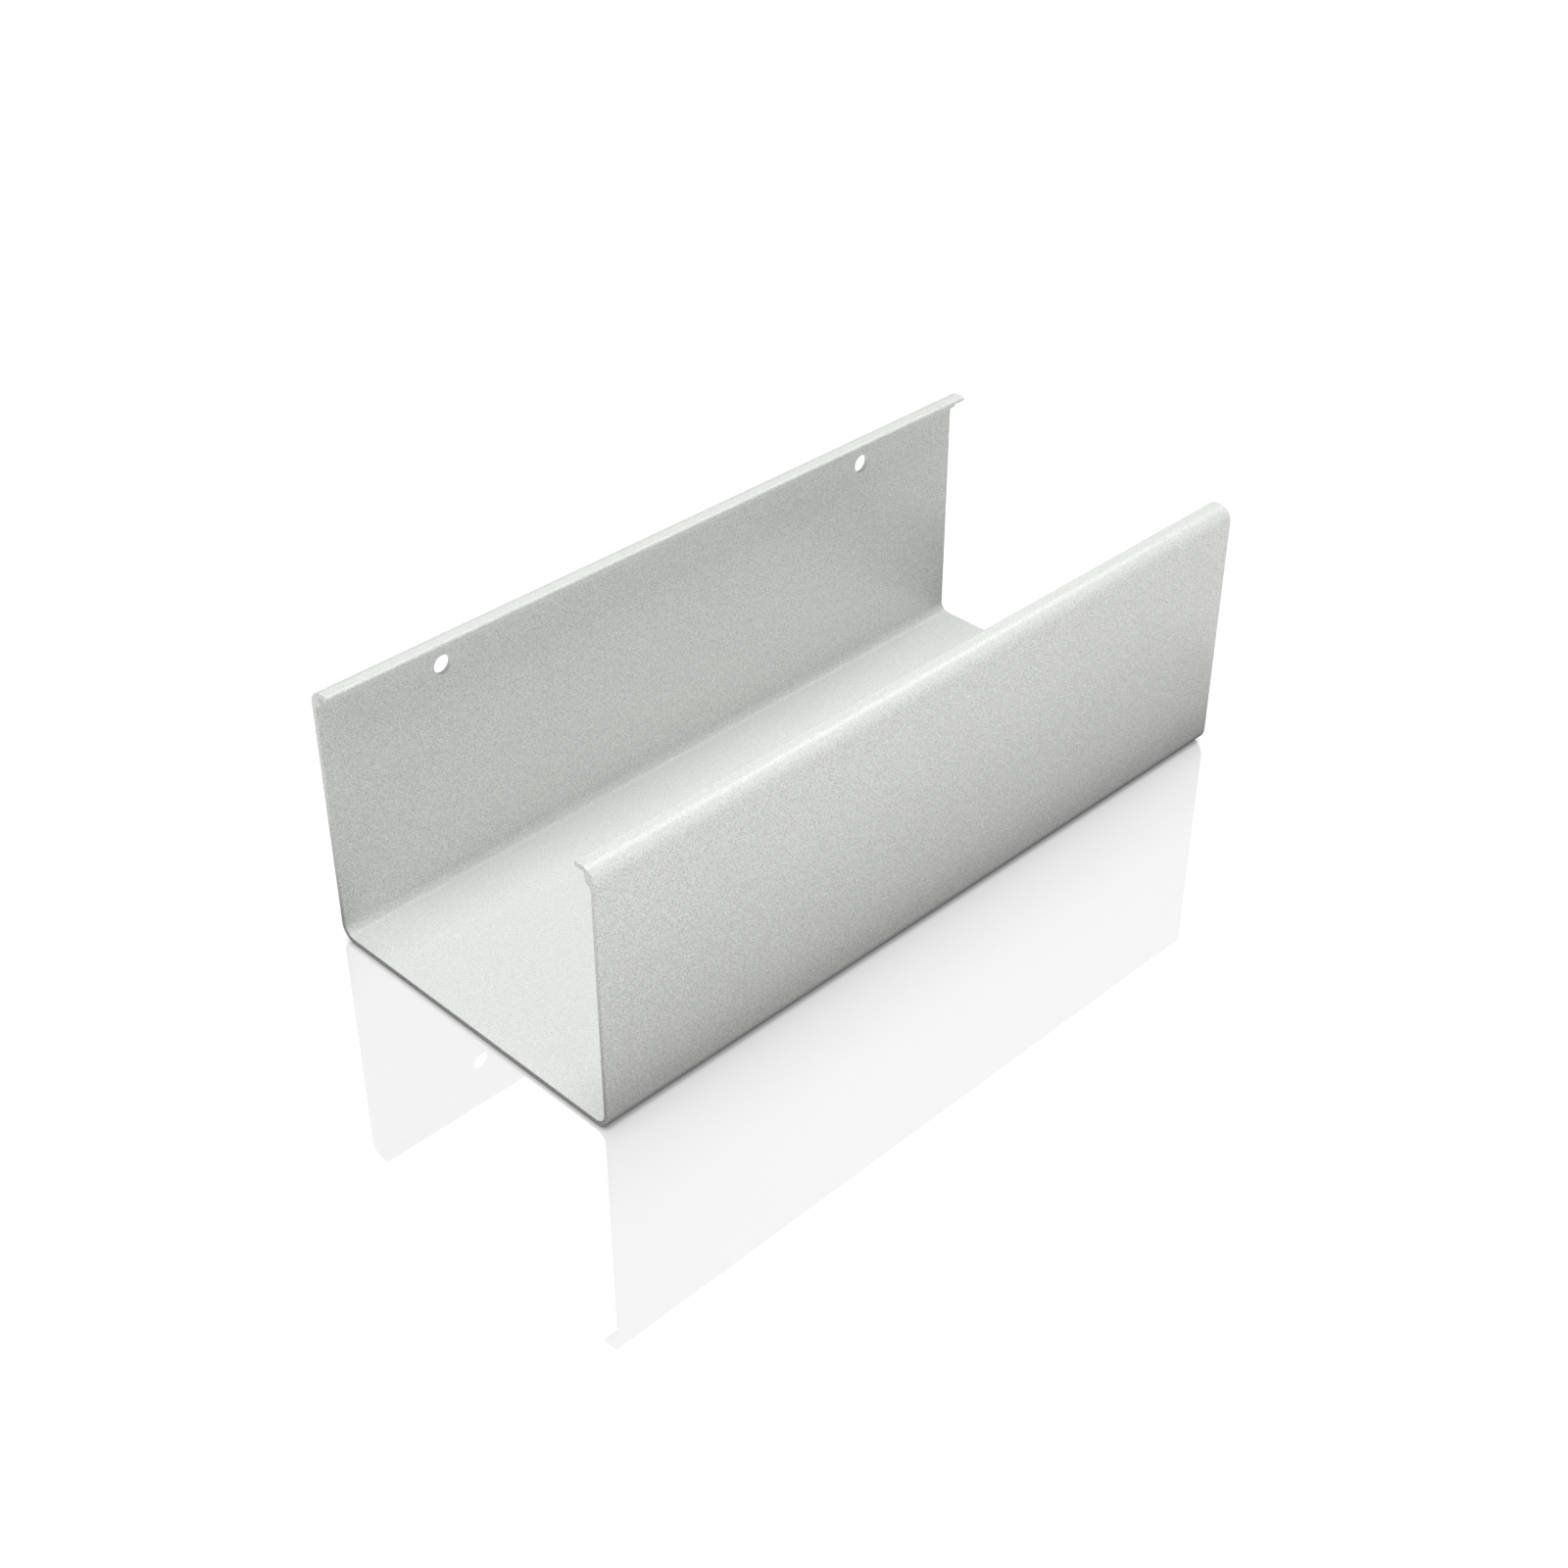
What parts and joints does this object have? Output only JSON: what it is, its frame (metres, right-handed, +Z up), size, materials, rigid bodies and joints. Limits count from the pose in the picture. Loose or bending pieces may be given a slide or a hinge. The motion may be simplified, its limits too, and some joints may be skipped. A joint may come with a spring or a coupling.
{
  "type": "cable tray",
  "caption": "Straight open cable tray: a U-shaped coated aluminium channel with inturned lips, beads under them, and screw holes in the back wall.",
  "frame": {"origin": "centre of the tray's resting face: midway along its length, midway between its walls, on its underside", "axes": "+X along the tray's length, +Y from the plain front wall to the drilled back wall, +Z up, out of the open side"},
  "size_m": [0.3, 0.135, 0.1],
  "materials": {
    "grey_powder_coat": "matte"
  },
  "bodies": {
    "root": {"tray_channel": "grey_powder_coat"}
  },
  "joints": []
}
